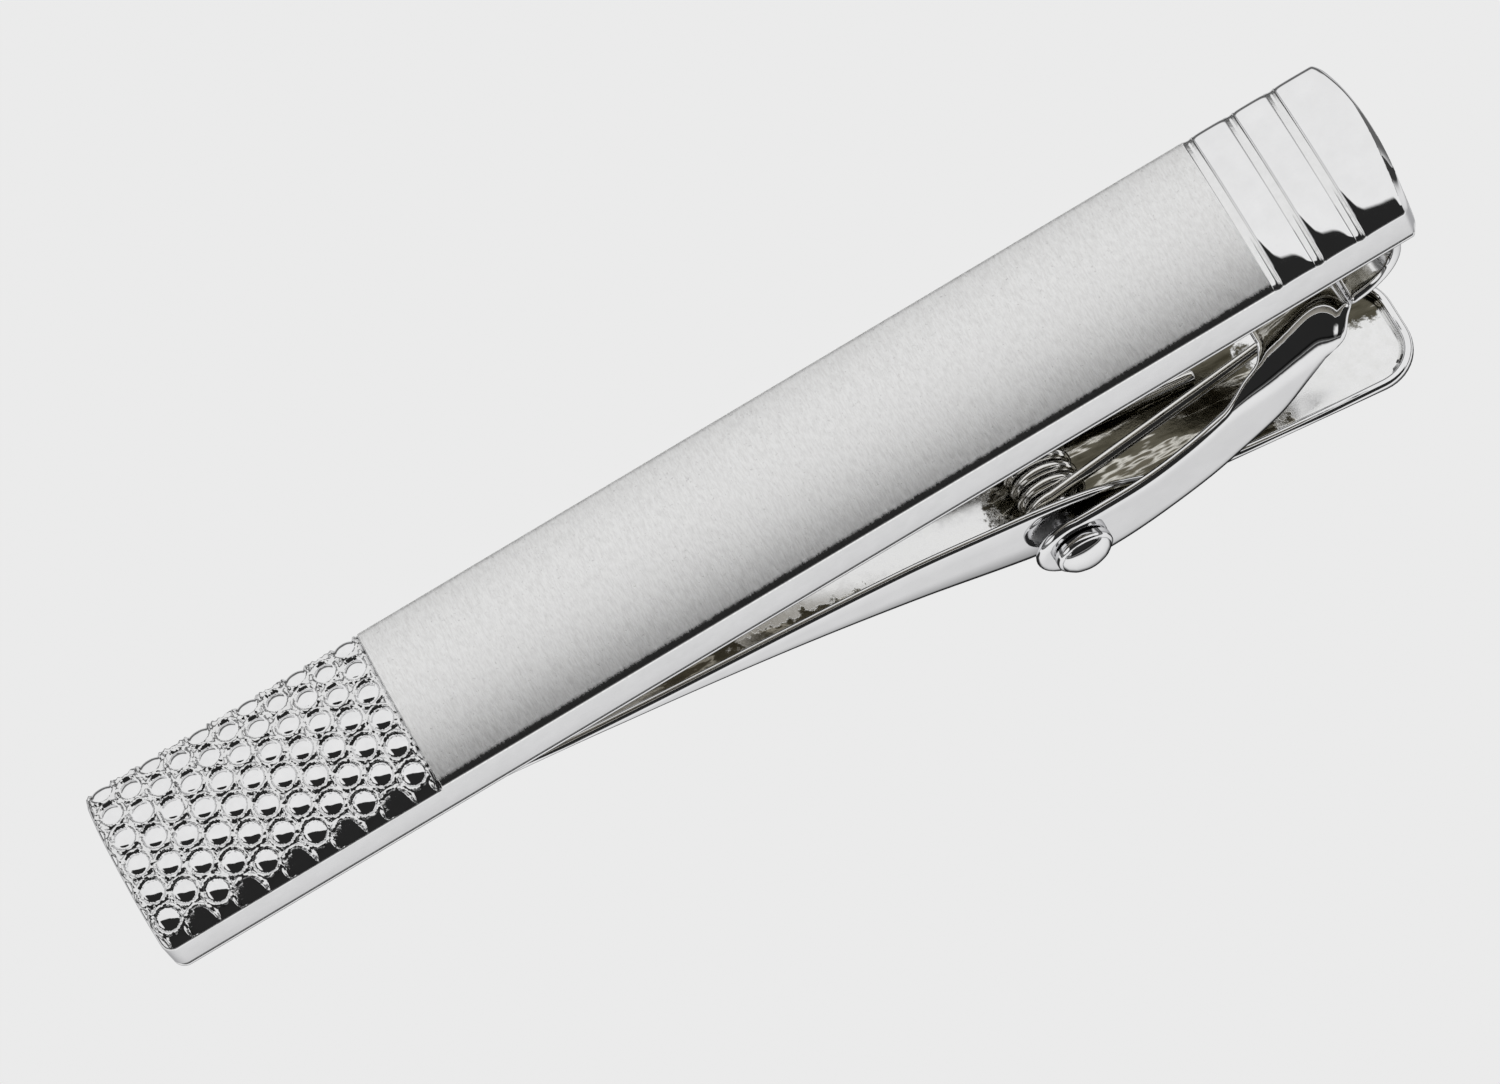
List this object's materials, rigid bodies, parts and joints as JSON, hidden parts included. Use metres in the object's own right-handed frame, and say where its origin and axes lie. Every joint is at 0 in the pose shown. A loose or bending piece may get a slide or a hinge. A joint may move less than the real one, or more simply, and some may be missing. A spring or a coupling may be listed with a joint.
{
  "type": "tie clip",
  "caption": "Metal tie clip: a decorated flat bar with a pebbled end, a brushed panel and ribbed end bands, and a sprung alligator lever hinged on its back.",
  "frame": {"origin": "centre of the bar's flat front face", "axes": "+X along the bar from the pebbled end to the ribbed end, +Z out of the front face, +Y across the bar"},
  "size_m": [0.06, 0.0096, 0.0188],
  "materials": {
    "bar_metal": "bright rhodium-look plate, polished domes, edges and bands, with a satin panel brushed across the bar",
    "polished_sheet": "bright plated sheet, polished",
    "lever_sheet": "bright plated sheet, polished outside, tumbled inside the tray",
    "rivet_metal": "bright plated rivet, polished domed heads",
    "spring_wire": "drawn spring wire, slightly dull"
  },
  "bodies": {
    "bar": {"front_bar": "bar_metal", "hinge_bracket": "polished_sheet", "hinge_pin": "rivet_metal", "torsion_spring": "spring_wire"},
    "lever": {"clip_lever": "lever_sheet"}
  },
  "joints": [
    {"name": "lever_pivot", "type": "hinge", "parent": "bar", "child": "lever", "pos_m": [0.0111, 0, -0.0133], "axis": [0, -1, 0], "range_deg": [0, 20], "stiffness_Nm_per_rad": 0.03, "springref_deg": -11.46, "deforming": ["torsion_spring"]}
  ]
}
